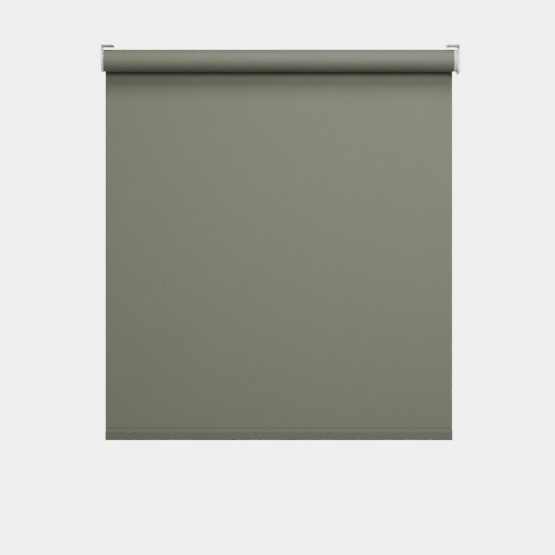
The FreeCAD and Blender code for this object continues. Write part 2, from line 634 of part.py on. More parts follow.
def windings():
    """The copper in the slots and its two bundles past the ends of the laminations."""
    fill = block(STACK_X0 - 1, STACK_X1 + 1, STACK_R / 2 + 0.1, WINDING_R + 0.2, AXIS_Z - 0.8, AXIS_Z + 0.8)
    first = ring(WINDING_R, WINDING_BORE, STACK_X0 - WINDING_END, STACK_X0)
    second = ring(WINDING_R, WINDING_BORE, STACK_X1, STACK_X1 + WINDING_END)
    return fused(first, [second] + around(fill, WINDING_SLOTS))


def commutator():
    return ring(COMMUTATOR_R, SHAFT_R, COMMUTATOR_X0, COMMUTATOR_X1)


def motor_pinion():
    """The armature shaft with the first sun gear cut on its end."""
    gear_x0 = stage_x1(0) - PLANET_WIDTH - 0.5
    shaft = rod(SHAFT_R, FIRST_PLANETS_X1, CAN_X1 + 1.0)
    return fused(gear(SUN_TEETH, gear_x0, FIRST_PLANETS_X1 + 0.5), [shaft])


def output_bush():
    return ring(OUTPUT_BUSH_R, OUTPUT_SHAFT_R + RUNNING, MOTOR_X0, MOTOR_X0 + OUTPUT_BUSH)


def gearbox_end():
    """The plug that closes the motor tube round the output bush."""
    bush_room = rod(OUTPUT_BUSH_R, MOTOR_X0 - 1, MOTOR_X0 + OUTPUT_BUSH)
    carrier_room = rod(CARRIER_R + 0.6, MOTOR_X0 + OUTPUT_BUSH + 2, RING_X0)
    shaft_room = rod(OUTPUT_SHAFT_R + 1, MOTOR_X0, MOTOR_X0 + OUTPUT_BUSH + 3)
    return rod(INSERT_R, MOTOR_X0, RING_X0 - 0.5).cut(bush_room).cut(carrier_room).cut(shaft_room)


# ---------------------------------------------------------------- roller
def roller_tube():
    tube = ring(TUBE_R, TUBE_BORE, TUBE_X0, TUBE_X1)
    rib = block(TUBE_X0, TUBE_X1, -KEY_WIDTH / 2, KEY_WIDTH / 2,
                AXIS_Z + TUBE_BORE - KEY_HEIGHT, AXIS_Z + TUBE_BORE + 0.5)
    return fused(tube, around(rib, 2))


def drive_wheel():
    """The keyed wheel that the output shaft turns: a hub, six spokes, a rim and a boss behind each keyway."""
    rim = ring(ADAPTER_R, ADAPTER_R - 2.0, WHEEL_X0, WHEEL_X1)
    hub = rod(8.0, WHEEL_X0, WHEEL_X1)
    spoke = block(WHEEL_X0 + 2, WHEEL_X1 - 2, 7.0, ADAPTER_R - 1.0, AXIS_Z - 1.2, AXIS_Z + 1.2)
    boss = block(WHEEL_X0, WHEEL_X1, ADAPTER_R - 4.8, ADAPTER_R - 1.0, AXIS_Z - 3.2, AXIS_Z + 3.2)
    spokes = around(turned(spoke, pi / 6), 6)
    bosses = around(turned(boss, pi / 2), 2)
    hole = SHAFT_SQUARE / 2 + 0.03
    wheel = fused(rim, [hub] + spokes + bosses)
    return wheel.cut(keyways()).cut(bar(WHEEL_X0 - 1, WHEEL_X1 + 1, hole, hole))


def wheel_screw():
    """The screw and its washer on the end of the output shaft."""
    washer = rod(7.0, WHEEL_X0 - 3.5, WHEEL_X0 - 2)
    head = rod(3.0, WHEEL_X0 - 6, WHEEL_X0 - 3.5)
    shank = rod(WHEEL_SCREW_R, WHEEL_X0 - 3, WHEEL_X0 + WHEEL_SCREW - 2)
    screw = fused(washer, [head, shank])
    for half_y, half_z in ((2.0, 0.4), (0.4, 2.0)):
        screw = screw.cut(bar(WHEEL_X0 - 7, WHEEL_X0 - 4.8, half_y, half_z))
    return screw


def fabric_tape():
    """The strip that holds the fabric's first turn to the tube."""
    strip = ring(TUBE_R + TAPE, TUBE_R, FABRIC_X0, FABRIC_X1)
    return strip.common(block(FABRIC_X0, FABRIC_X1, -7.5, 7.5, AXIS_Z, AXIS_Z + ROLL_R))


def fabric_roll():
    """The wound fabric. Its outside is one turn of a spiral that steps in by the cloth's thickness."""
    quarters = []
    for quarter in range(4):
        a, b, c = (spiral_point((quarter + k / 2) * pi / 2) for k in (0, 1, 2))
        quarters.append(arc(a, b, c))
    quarters.append(line(spiral_point(2 * pi), spiral_point(0)))
    return extruded(quarters, FABRIC_X0, FABRIC_X1).cut(rod(TUBE_R + TAPE, FABRIC_X0 - 1, FABRIC_X1 + 1))


def spiral_point(angle):
    return polar(ROLL_R - ROLL_GAP - FABRIC * angle / (2 * pi), angle)


def idle_plug():
    """The keyed plug in the idle end of the tube, with a flange, fins and a chamber for the sprung pin."""
    flange = rod(HEAD_R, TUBE_X0 - 1.0, TUBE_X0)
    groove = ring(ADAPTER_R + 1, ADAPTER_R - 3, PLUG_COLLAR_X1, PLUG_X1 - 4)
    barrel = rod(ADAPTER_R, TUBE_X0 - 0.5, PLUG_X1).cut(groove)
    fin = block(PLUG_COLLAR_X1 - 1, PLUG_X1 - 3, PLUG_CORE_R, ADAPTER_R - 0.3, AXIS_Z - 1, AXIS_Z + 1)
    plug = fused(flange, [fused(barrel, around(turned(fin, pi / 8), 8)).cut(keyways())])
    plug = plug.cut(rod(PIN_R + 0.1, TUBE_X0 - 2, PIN_COLLAR_X0 + 1))
    return plug.cut(rod(PIN_CHAMBER_R, PIN_COLLAR_X0 - 0.1, PLUG_X1 + 1))


def idle_pin():
    """The sprung steel pin, with a collar for the spring to push on and a tail to pull it back."""
    tip = rounded(rod(PIN_R, PIN_TIP, PIN_COLLAR_X0 + 0.5), 0.8, on_plane(PIN_TIP))
    collar = rod(PIN_CHAMBER_R - 0.2, PIN_COLLAR_X0, PIN_COLLAR_X1)
    return fused(tip, [collar, rod(PIN_TAIL_R, PIN_COLLAR_X1 - 0.5, PLUG_X1 - 2 * CHAMBER_CAP)])


def idle_plug_cap():
    """The ring that closes the pin's chamber and backs up the spring."""
    return ring(PIN_CHAMBER_R, PIN_TAIL_R + 0.5, PLUG_X1 - CHAMBER_CAP, PLUG_X1)


def idle_spring():
    """Compression spring between the pin's collar and the chamber's cap."""
    length = PLUG_X1 - CHAMBER_CAP - PIN_COLLAR_X1 - 0.1
    spring = coil_spring(PIN_SPRING_R, PIN_WIRE, length, PIN_SPRING_TURNS)
    spring.rotate(vec(0, 0, 0), vec(0, 1, 0), 90)
    return spring.translate(vec(PIN_COLLAR_X1 + 0.05, 0, AXIS_Z))


# ---------------------------------------------------------------- fabric drop and hem
def fabric_drop():
    """The hanging cloth, from the back of the roll to the hem's seam."""
    return block(FABRIC_X0, FABRIC_X1, ROLL_R - FABRIC, ROLL_R, WELD_TOP, AXIS_Z)


def hem_outline(inset):
    """The hem pocket in section: round below, flat to its shoulder, then leaning back to the seam.

    inset is 0 for the outside and the cloth's thickness for the inside, which has no seam strip.
    """
    back, front = ROLL_R - inset, ROLL_R - HEM_DEPTH + inset
    r = (back - front) / 2
    centre = ((back + front) / 2, HEM_BOTTOM + inset + r)
    slope = HEM_LEAN / (HEM_DEPTH - 2 * FABRIC)
    shoulder = (front, HEM_TOP + inset * (slope - hypot(1.0, slope)))
    seam_y = back if inset else ROLL_R - 2 * FABRIC
    seam = (seam_y, shoulder[1] + (seam_y - front) * slope)
    edges = [arc((back, centre[1]), polar(r, -pi / 2, centre), (front, centre[1])),
             line((front, centre[1]), shoulder), line(shoulder, seam)]
    if inset:
        return edges + [line(seam, (back, centre[1]))]
    return edges + [line(seam, (seam_y, WELD_TOP)), line((seam_y, WELD_TOP), (back, WELD_TOP)),
                    line((back, WELD_TOP), (back, centre[1]))]


def hem_pocket():
    return extruded(hem_outline(0), FABRIC_X0, FABRIC_X1).cut(
        extruded(hem_outline(FABRIC), FABRIC_X0 - 1, FABRIC_X1 + 1))


def bar_section(inset, x0, x1):
    """A length of the hem bar's section, smaller all round by inset."""
    corner = (BAR_BACK - BAR_FRONT) / 2 - inset - 0.02
    return extruded(slab_outline(BAR_FRONT + inset, BAR_BACK - inset, BAR_Z0 + inset, BAR_Z1 - inset, corner),
                    x0, x1)


def hem_bar():
    x0, x1 = FABRIC_X0 + CAP_PLATE, FABRIC_X1 - CAP_PLATE
    return bar_section(0, x0, x1).cut(bar_section(BAR_WALL, x0 - 1, x1 + 1))


def hem_cap(side):
    """An end cap of the hem bar: a thin plate and a plug that fits inside the bar."""
    plate_x0 = FABRIC_X0 if side < 0 else FABRIC_X1 - CAP_PLATE
    plug_x0 = plate_x0 + CAP_PLATE - 0.5 if side < 0 else plate_x0 + 0.5 - CAP_PLUG
    plate = bar_section(0, plate_x0, plate_x0 + CAP_PLATE)
    return fused(plate, [bar_section(BAR_WALL + 0.05, plug_x0, plug_x0 + CAP_PLUG)])


# ---------------------------------------------------------------- all sub-parts
def nodes():
    made = {
        "idle_bracket": idle_bracket(),
        "drive_bracket": drive_bracket(),
        "idle_cover": idle_cover(),
        "drive_cover": drive_cover(),
        "idle_bearing": idle_bearing(),
        "drive_latch": drive_latch(),
        "latch_springs": latch_springs(),
        "motor_head": screw_holes(motor_head()),
        "set_button": set_button(),
        "status_lens": status_lens(),
        "charge_port": charge_port(),
        "port_flap": port_flap(),
        "crown": crown(),
        "crown_circlip": crown_circlip(),
        "head_screws": head_screws(),
        "motor_tube": motor_tube(),
        "board_tray": board_tray(),
        "control_board": control_board(),
        "battery_cells": battery_cells(),
        "battery_sleeve": battery_sleeve(),
        "battery_spacers": battery_spacers(),
        "motor_can": motor_can(),
        "motor_magnets": motor_magnets(),
        "motor_end_bell": end_bell(),
        "motor_mount": motor_mount(),
        "front_bearing": front_bearing(),
        "armature": armature(),
        "windings": windings(),
        "commutator": commutator(),
        "motor_pinion": motor_pinion(),
        "ring_gear": ring_gear(),
        "output_carrier": output_carrier(),
        "output_bush": output_bush(),
        "gearbox_end": gearbox_end(),
        "roller_tube": roller_tube(),
        "drive_wheel": drive_wheel(),
        "wheel_screw": wheel_screw(),
        "fabric_tape": fabric_tape(),
        "fabric_roll": fabric_roll(),
        "idle_plug": idle_plug(),
        "idle_plug_cap": idle_plug_cap(),
        "idle_pin": idle_pin(),
        "idle_pin_spring": idle_spring(),
        "fabric_drop": fabric_drop(),
        "hem_pocket": hem_pocket(),
        "hem_bar": hem_bar(),
        "hem_cap_idle": hem_cap(-1),
        "hem_cap_drive": hem_cap(1),
    }
    for stage in range(STAGES):
        for number in range(3):
            made[f"planet_{stage + 1}{'abc'[number]}"] = planet(stage, number)
        if stage < STAGES - 1:
            made[f"carrier_{stage + 1}"] = geared_carrier(stage)
    return made


os.makedirs("parts", exist_ok=True)
for name, shape in nodes().items():
    solids = shape.Solids
    print(f"{name}: {len(solids)} solid(s), {shape.Volume:.1f} mm3, valid {shape.isValid()}")
    result = solids[0] if len(solids) == 1 else Part.makeCompound(solids)
    result.exportStep(f"parts/{name}.step")
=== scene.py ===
import json
from math import cos, pi, radians, sin, tan

import bpy
import numpy as np
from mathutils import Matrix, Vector

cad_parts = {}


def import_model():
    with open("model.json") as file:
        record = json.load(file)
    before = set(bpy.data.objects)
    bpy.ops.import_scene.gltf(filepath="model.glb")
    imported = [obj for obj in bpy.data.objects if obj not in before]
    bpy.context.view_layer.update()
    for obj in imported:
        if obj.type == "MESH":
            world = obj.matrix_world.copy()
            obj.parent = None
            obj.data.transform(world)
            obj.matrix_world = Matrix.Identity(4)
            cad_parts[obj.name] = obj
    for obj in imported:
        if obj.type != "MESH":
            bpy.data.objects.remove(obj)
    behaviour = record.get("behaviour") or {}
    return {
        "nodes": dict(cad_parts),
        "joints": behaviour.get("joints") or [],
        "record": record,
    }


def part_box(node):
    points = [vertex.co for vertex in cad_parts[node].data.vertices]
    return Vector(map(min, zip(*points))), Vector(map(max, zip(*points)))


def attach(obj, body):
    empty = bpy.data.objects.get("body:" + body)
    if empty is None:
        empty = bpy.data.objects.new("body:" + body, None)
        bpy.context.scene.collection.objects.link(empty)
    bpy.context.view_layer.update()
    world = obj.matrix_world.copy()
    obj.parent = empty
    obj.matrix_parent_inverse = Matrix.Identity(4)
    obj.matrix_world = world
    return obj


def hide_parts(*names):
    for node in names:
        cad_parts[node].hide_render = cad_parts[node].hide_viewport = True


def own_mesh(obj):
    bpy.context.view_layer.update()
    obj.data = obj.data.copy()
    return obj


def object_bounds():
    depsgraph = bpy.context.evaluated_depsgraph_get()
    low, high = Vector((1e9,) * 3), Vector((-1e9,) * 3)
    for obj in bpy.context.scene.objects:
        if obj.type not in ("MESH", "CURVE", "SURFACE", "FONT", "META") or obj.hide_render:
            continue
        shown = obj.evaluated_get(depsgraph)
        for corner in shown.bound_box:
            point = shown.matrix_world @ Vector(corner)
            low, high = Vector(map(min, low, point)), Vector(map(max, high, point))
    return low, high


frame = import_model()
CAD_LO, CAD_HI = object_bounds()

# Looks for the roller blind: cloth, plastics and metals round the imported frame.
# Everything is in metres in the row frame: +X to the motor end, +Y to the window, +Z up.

MM = 0.001

# ---------------------------------------------------------------- places, from the frame
JOINTS = {j["name"]: j for j in frame["joints"]}
AXIS = Vector(JOINTS["roller_spin"]["pos_m"])
DROP_LO, DROP_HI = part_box("fabric_drop")
HEM_LO, HEM_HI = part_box("hem_pocket")
BAR_LO, BAR_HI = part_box("hem_bar")

CLOTH = DROP_HI.y - DROP_LO.y  # thickness of the cloth
WIDTH_X0, WIDTH_X1 = DROP_LO.x, DROP_HI.x
DROP_LENGTH = DROP_HI.z - DROP_LO.z


# ---------------------------------------------------------------- meshes
def mesh_piece(name, verts, faces, uvs=None, smooth_angle=radians(40)):
    """A new object from vertices and faces, with one UV pair for each vertex, smooth up to an angle."""
    mesh = bpy.data.meshes.new(name)
    mesh.from_pydata([tuple(v) for v in verts], [], faces)
    if uvs is not None:
        layer = mesh.uv_layers.new(name="cloth")
        corners = np.zeros(len(mesh.loops), np.int32)
        mesh.loops.foreach_get("vertex_index", corners)
        layer.data.foreach_set("uv", np.asarray(uvs, np.float32)[corners].ravel())
    mesh.update()
    piece = bpy.data.objects.new(name, mesh)
    bpy.context.scene.collection.objects.link(piece)
    mesh.shade_smooth()
    mesh.set_sharp_from_angle(angle=smooth_angle)
    return piece


def grid_faces(rows, columns, start=0, flip=False):
    """Quads between neighbouring points of a grid whose rows follow each other."""
    quads = []
    for r in range(rows - 1):
        for c in range(columns - 1):
            a = start + r * columns + c
            quad = (a, a + 1, a + columns + 1, a + columns)
            quads.append(quad[::-1] if flip else quad)
    return quads


def strip_shell(name, path, normals, thickness, xs, shift, along):
    """A closed piece of cloth: a path in the (y, z) plane swept over xs.

    path, normals: points and unit normals, in section. shift(i, x) returns the (dx, out) by which the
    cloth at path point i moves along X and along its normal. along: distance along the cloth at each point.
    """
    rows, columns = len(path), len(xs)
    verts, uvs = [], []
    for side in (0.5, -0.5):
        for i, ((y, z), (ny, nz)) in enumerate(zip(path, normals)):
            for x in xs:
                dx, out = shift(i, x)
                out += side * thickness
                verts.append((x + dx, y + ny * out, z + nz * out))
                uvs.append((x, along[i]))
    count = rows * columns
    faces = grid_faces(rows, columns, 0, flip=True) + grid_faces(rows, columns, count)
    for i in range(rows - 1):
        for c in (0, columns - 1):
            a, b = i * columns + c, (i + 1) * columns + c
            quad = (a, b, b + count, a + count)
            faces.append(quad if c == 0 else quad[::-1])
    for c in range(columns - 1):
        for i in (0, rows - 1):
            a, b = i * columns + c, i * columns + c + 1
            quad = (a, b, b + count, a + count)
            faces.append(quad[::-1] if i == 0 else quad)
    return mesh_piece(name, verts, faces, uvs)


def path_normals(path):
    """Unit normals of a section path, on the left of its direction."""
    points = np.asarray(path, float)
    steps = np.gradient(points, axis=0)
    steps /= np.linalg.norm(steps, axis=1)[:, None]
    return np.stack([-steps[:, 1], steps[:, 0]], axis=1)


def path_lengths(path):
    steps = np.linalg.norm(np.diff(np.asarray(path, float), axis=0), axis=1)
    return np.concatenate([[0.0], np.cumsum(steps)])


def width_samples(spacing, edge=6 * MM, fine=0.75 * MM):
    """X positions over the cloth's width, closer together by the side edges."""
    near = np.arange(0.0, edge, fine)
    count = max(2, round((WIDTH_X1 - WIDTH_X0 - 2 * edge) / spacing))
    middle = np.linspace(WIDTH_X0 + edge, WIDTH_X1 - edge, count + 1)
    return np.concatenate([WIDTH_X0 + near, middle, (WIDTH_X1 - near)[::-1]])


def tube_mesh(name, points, radius, sides=10):
    """A round wire along a list of points, with flat ends."""
    points = np.asarray(points, float)
    tangents = np.gradient(points, axis=0)
    tangents /= np.linalg.norm(tangents, axis=1)[:, None]
    up = np.cross(tangents[0], (0.3, 0.5, 0.8))
    verts = []
    for p, t in zip(points, tangents):
        up = up - t * (up @ t)
        up /= np.linalg.norm(up)
        side = np.cross(t, up)
        for k in range(sides):
            a = 2 * pi * k / sides
            verts.append(p + radius * (cos(a) * up + sin(a) * side))
    faces = []
    for r in range(len(points) - 1):
        for k in range(sides):
            a, b = r * sides + k, r * sides + (k + 1) % sides
            faces.append((a, b, b + sides, a + sides))
    faces.append(tuple(range(sides))[::-1])
    faces.append(tuple(range((len(points) - 1) * sides, len(points) * sides)))
    return mesh_piece(name, verts, faces)


def helix(centre, axis, side, radius, length, turns, steps=20):
    """Points of a coil that starts at centre and runs along axis. side is a unit vector across it."""
    centre, axis, side = (np.asarray(v, float) for v in (centre, axis, side))
    across = np.cross(axis, side)
    count = int(turns * steps) + 1
    for k in range(count):
        a = 2 * pi * turns * k / (count - 1)
        yield centre + axis * length * k / (count - 1) + radius * (cos(a) * side + sin(a) * across)


def joined(pieces, name):
    """One object from several."""
    for piece in bpy.context.selected_objects:
        piece.select_set(False)
    for piece in pieces:
        piece.select_set(True)
    bpy.context.view_layer.objects.active = pieces[0]
    bpy.ops.object.join()
    pieces[0].name = pieces[0].data.name = name
    return pieces[0]


# ---------------------------------------------------------------- material graphs
class Graph:
    """A material with one Principled shader, and short calls for the nodes that feed it."""

    def __init__(self, name, roughness, metallic=0.0, **constants):
        self.material = bpy.data.materials.new(name)
        self.material.use_nodes = True
        self.tree = self.material.node_tree
        self.shader = self.tree.nodes["Principled BSDF"]
        self.shader.inputs["Roughness"].default_value = roughness
        self.shader.inputs["Metallic"].default_value = metallic
        for socket, value in constants.items():
            self.shader.inputs[socket.replace("_", " ")].default_value = value
        coordinates = self.node("ShaderNodeTexCoord")
        self.place = coordinates.outputs["Object"]
        self.uv = coordinates.outputs["UV"]

    def node(self, kind, **settings):
        made = self.tree.nodes.new(kind)
        for key, value in settings.items():
            setattr(made, key, value)
        return made

    def link(self, source, target):
        if isinstance(source, (int, float)):
            target.default_value = source
        else:
            self.tree.links.new(source, target)

    def math(self, operation, a, b=0.0):
        made = self.node("ShaderNodeMath", operation=operation)
        self.link(a, made.inputs[0])
        self.link(b, made.inputs[1])
        return made.outputs[0]

    def stretched(self, vector, scale):
        made = self.node("ShaderNodeMapping", vector_type="POINT")
        made.inputs["Scale"].default_value = scale
        self.link(vector, made.inputs["Vector"])
        return made.outputs[0]

    def noise(self, vector, scale, detail=3.0, roughness=0.55):
        """Noise of about 0.3 to 0.7, with features of 1 / scale metres."""
        made = self.node("ShaderNodeTexNoise")
        made.inputs["Scale"].default_value = scale
        made.inputs["Detail"].default_value = detail
        made.inputs["Roughness"].default_value = roughness
        self.link(vector, made.inputs["Vector"])
        return made.outputs["Fac"]

    def spread(self, value, low, high, low_in=0.3, high_in=0.7):
        """value, from low_in to high_in, moved to low to high."""
        made = self.node("ShaderNodeMapRange")
        limits = {"From Min": low_in, "From Max": high_in, "To Min": low, "To Max": high}
        for socket, number in limits.items():
            made.inputs[socket].default_value = number
        self.link(value, made.inputs["Value"])
        return made.outputs["Result"]

    def colours(self, factor, dark, light):
        """Sets the base colour between two colours."""
        made = self.node("ShaderNodeMix", data_type="RGBA")
        made.inputs["A"].default_value = (*dark, 1.0)
        made.inputs["B"].default_value = (*light, 1.0)
        self.link(factor, made.inputs["Factor"])
        self.link(made.outputs["Result"], self.shader.inputs["Base Color"])

    def shaded(self, factor, colour, depth):
        """Sets the base colour to a colour that varies in value by depth each way."""
        self.colours(factor, [c * (1 - depth) for c in colour], [min(1.0, c * (1 + depth)) for c in colour])

    def rough(self, factor, low, high):
        self.link(self.spread(factor, low, high), self.shader.inputs["Roughness"])

    def bump(self, height, strength, distance):
        made = self.node("ShaderNodeBump")
        made.inputs["Strength"].default_value = strength
        made.inputs["Distance"].default_value = distance
        self.link(height, made.inputs["Height"])
        self.link(made.outputs["Normal"], self.shader.inputs["Normal"])


def linear(*srgb):
    """Linear colour from sRGB values of 0 to 255."""
    return [c / 255 / 12.92 if c <= 10 else ((c / 255 + 0.055) / 1.055) ** 2.4 for c in srgb]


OLIVE = (0.104, 0.108, 0.078)  # linear


def cloth(name, painted_shade_scale=1.0):
    """Coated plain-weave cloth. Its UVs are metres across and along the cloth."""
    g = Graph(name, 0.62, Specular_IOR_Level=0.3, Sheen_Weight=0.02, Sheen_Roughness=0.45)
    split = g.node("ShaderNodeSeparateXYZ")
    g.link(g.uv, split.inputs[0])
    turns = 2 * pi / (1.0 * MM)  # a thread over and a thread under
    warp = g.math("SINE", g.math("MULTIPLY", split.outputs["X"], turns))
    weft = g.math("SINE", g.math("MULTIPLY", split.outputs["Y"], turns))
    weave = g.math("MULTIPLY", warp, weft)
    warp_slub = g.noise(g.stretched(g.uv, (1.0, 0.03, 1.0)), 900, 2.0)
    weft_slub = g.noise(g.stretched(g.uv, (0.03, 1.0, 1.0)), 900, 2.0)
    slub = g.math("ADD", warp_slub, weft_slub)
    mottle = g.noise(g.uv, 14, 4.0)
    tint = g.math("ADD", g.math("MULTIPLY", weave, 0.12), g.spread(slub, 0.2, 0.8, 0.8, 1.2))
    tint = g.math("ADD", tint, g.spread(mottle, -0.12, 0.12))
    # a scale below 1 darkens the whole colour: painted shade, used for the hem's face
    g.shaded(tint, [c * painted_shade_scale for c in OLIVE], 0.1)
    g.rough(mottle, 0.56, 0.68)
    g.bump(g.math("ADD", g.math("MULTIPLY", weave, 0.5), slub), 0.35, 0.05 * MM)
    return g.material


def moulded(name, colour, roughness, grain=0.5 * MM, depth=0.02, gloss=0.5, relief=0.02 * MM):
    """Injection-moulded plastic: a fine spark-eroded grain, and faint handling marks in the gloss."""
    g = Graph(name, roughness, Specular_IOR_Level=gloss)
    fine = g.noise(g.place, 1 / grain, 2.0)
    marks = g.noise(g.stretched(g.place, (1.0, 1.0, 0.35)), 60, 5.0, 0.62)
    g.shaded(g.spread(marks, 0.0, 1.0), colour, depth)
    g.rough(marks, roughness - 0.06, roughness + 0.08)
    g.bump(fine, 0.3, relief)
    return g.material


def coated(name, colour):
    """Powder-coated steel: orange peel, and a little dust in the gloss."""
    g = Graph(name, 0.42, Specular_IOR_Level=0.5, Coat_Weight=0.15, Coat_Roughness=0.3)
    peel = g.noise(g.place, 700, 1.0)
    dust = g.noise(g.place, 45, 5.0, 0.65)
    g.shaded(g.spread(dust, 0.0, 1.0), colour, 0.025)
    g.rough(dust, 0.36, 0.5)
    g.bump(peel, 0.25, 0.04 * MM)
    return g.material


def drawn_metal(name, colour, roughness, along=(0.02, 1.0, 1.0), depth=0.08):
    """Bare metal with fine lines along the axis in which it was drawn, extruded or turned."""
    g = Graph(name, roughness, 1.0)
    lines = g.noise(g.stretched(g.place, along), 1600, 3.0)
    stains = g.noise(g.place, 40, 5.0, 0.6)
    g.shaded(g.spread(stains, 0.0, 1.0), colour, depth)
    g.rough(g.math("ADD", g.math("MULTIPLY", lines, 0.6), g.math("MULTIPLY", stains, 0.4)),
            roughness - 0.08, roughness + 0.12)
    g.bump(lines, 0.2, 0.01 * MM)
    return g.material


def copper_wire(name):
    """Enamelled wire, close wound round the axis."""
    g = Graph(name, 0.35, 0.9, Coat_Weight=0.4, Coat_Roughness=0.15)
    lines = g.noise(g.stretched(g.place, (1.0, 0.15, 0.15)), 2400, 2.0)
    g.shaded(g.spread(lines, 0.0, 1.0), linear(196, 112, 62), 0.25)
    g.bump(lines, 0.6, 0.1 * MM)
    return g.material


def board(name):
    """Solder resist over copper tracks, shown as darker and lighter cells."""
    g = Graph(name, 0.38, Specular_IOR_Level=0.5)
    cells = g.node("ShaderNodeTexVoronoi", feature="F1", distance="CHEBYCHEV")
    cells.inputs["Scale"].default_value = 320
    g.link(g.place, cells.inputs["Vector"])
    track = g.spread(cells.outputs["Distance"], 0.0, 1.0, 0.1, 0.6)
    g.colours(track, linear(16, 70, 40), linear(30, 104, 60))
    g.bump(cells.outputs["Distance"], 0.2, 0.05 * MM)
    return g.material


def rubbery(name, colour):
    g = Graph(name, 0.7, Specular_IOR_Level=0.3, Sheen_Weight=0.15, Sheen_Roughness=0.5)
    fine = g.noise(g.place, 2500, 2.0)
    g.shaded(g.spread(g.noise(g.place, 120, 4.0), 0.0, 1.0), colour, 0.05)
    g.rough(g.noise(g.place, 200, 3.0), 0.62, 0.78)
    g.bump(fine, 0.3, 0.02 * MM)
    return g.material


def dark_steel(name, colour, roughness=0.55):
    """Sintered or stamped iron: a fine crystalline surface."""
    g = Graph(name, roughness, 0.7)
    crystals = g.noise(g.place, 2200, 3.0, 0.7)
    g.shaded(g.spread(crystals, 0.0, 1.0), colour, 0.2)
    g.rough(crystals, roughness - 0.1, roughness + 0.1)
    g.bump(crystals, 0.4, 0.02 * MM)
    return g.material


ROUND = (1.0, 0.05, 0.05)  # lines that run round the roller axis, as on turned parts
MATERIALS = {
    "bracket_paint": coated("bracket_paint", linear(232, 232, 229)),
    "cover_plastic": moulded("cover_plastic", linear(243, 243, 240), 0.3, depth=0.012),
    "nylon": moulded("nylon", linear(226, 222, 208), 0.45),
    "spring_steel": drawn_metal("spring_steel", linear(186, 188, 190), 0.25, (1.0, 1.0, 1.0)),
    "head_plastic": moulded("head_plastic", linear(226, 226, 223), 0.42),
    "crown_plastic": moulded("crown_plastic", linear(240, 240, 237), 0.34, depth=0.012),
    "button_plastic": moulded("button_plastic", linear(120, 122, 124), 0.5),
    "lens_plastic": moulded("lens_plastic", linear(214, 222, 226), 0.12, relief=0.004 * MM),
    "port_steel": drawn_metal("port_steel", linear(190, 190, 190), 0.28),
    "flap_rubber": rubbery("flap_rubber", linear(214, 214, 210)),
    "zinc_steel": drawn_metal("zinc_steel", linear(196, 199, 204), 0.3, ROUND),
    "motor_tube_steel": drawn_metal("motor_tube_steel", linear(176, 179, 183), 0.32),
    "tray_plastic": moulded("tray_plastic", linear(52, 52, 54), 0.5),
    "board_laminate": board("board_laminate"),
    "cell_wrap": moulded("cell_wrap", linear(58, 124, 138), 0.22),
    "sleeve_film": moulded("sleeve_film", linear(214, 206, 176), 0.3),
    "ferrite": dark_steel("ferrite", linear(58, 58, 61), 0.7),
    "bronze": drawn_metal("bronze", linear(196, 150, 92), 0.4, ROUND),
    "lamination_steel": dark_steel("lamination_steel", linear(120, 121, 124), 0.45),
    "copper": copper_wire("copper"),
    "gear_steel": drawn_metal("gear_steel", linear(165, 167, 170), 0.34, (0.05, 1.0, 1.0)),
    "gear_nylon": moulded("gear_nylon", linear(222, 218, 200), 0.4),
    "roller_aluminium": drawn_metal("roller_aluminium", linear(206, 208, 211), 0.34),
    "adapter_plastic": moulded("adapter_plastic", linear(222, 222, 218), 0.46),
    "tape": moulded("tape", linear(232, 232, 226), 0.5),
    "hem_aluminium": drawn_metal("hem_aluminium", linear(200, 202, 205), 0.36),
    "hem_cap_plastic": moulded("hem_cap_plastic", linear(96, 98, 89), 0.5),
    "blind_fabric": cloth("blind_fabric"),
}
HEM_CLOTH_PAINTED_SHADE = cloth("hem_cloth", 0.79)  # painted shade: a darker copy of the same cloth for the hem's face


def dress_frame():
    """Gives every CAD node the material of its slot."""
    for entry in frame["record"]["subparts"]:
        mesh = frame["nodes"][entry["node"]].data
        mesh.materials.clear()
        mesh.materials.append(MATERIALS[entry["material_slot"]])


# ---------------------------------------------------------------- the cloth
STEPS_A_TURN = 120
TURN_PITCH = 0.45 * MM  # radial step of the winding in one turn
WOUND_CLOTH = 0.42 * MM  # the cloth is a little thinner where it is wound tight
OUTER_R = DROP_HI.y - AXIS.y  # where the cloth leaves the roll, measured to its outside
OUTER_TURN = 0.985  # turns that stay with the hanging cloth
TURNS_BELOW = 2.5  # turns under the outermost one, which go round with the tube
# The turns below are drawn thinner than real, to clear the outer turn at every angle of the tube.
INNER_PITCH, INNER_CLOTH = 0.28 * MM, 0.26 * MM
INNER_R = OUTER_R - OUTER_TURN * TURN_PITCH - WOUND_CLOTH - 0.02 * MM
EDGE_EASE = 0.25  # of a turn, over which the edge comes into line with the hanging cloth
EDGE_CURL = 0.5 * MM  # how far the side edges lean back towards the window
CURL_WIDTH = 7 * MM
SHOULDER_LEAN = radians(58)  # of the hem's cloth where it leaves the bar for the weld
WELD = 2.0 * MM  # height of the flat seam
LINING_INSET = 0.2 * MM  # keeps its side edges inside those of the hanging cloth
LINING_LENGTH = 0.53  # reaches from the hem to the hanging cloth at the lower limit, where both are squashed


def wound_path(turn0, turn1, radius, pitch):
    """Section of the winding from turn0 to turn1, counted inwards from where the cloth leaves the roll."""
    count = max(24, round((turn1 - turn0) * STEPS_A_TURN))
    path = []
    for k in range(count + 1):
        turns = (turn1 - turn0) * k / count
        angle = 2 * pi * (turn0 + turns)
        r = radius - pitch * turns
        path.append((AXIS.y + r * cos(angle), AXIS.z + r * sin(angle)))
    return path


def wander(turns, seed):
    """How far the cloth's edge has strayed along X at a number of turns: a slow sum of sines."""
    return 0.22 * MM * (sin(1.7 * turns * pi + seed) + 0.6 * sin(3.9 * turns + 2.1 * seed))


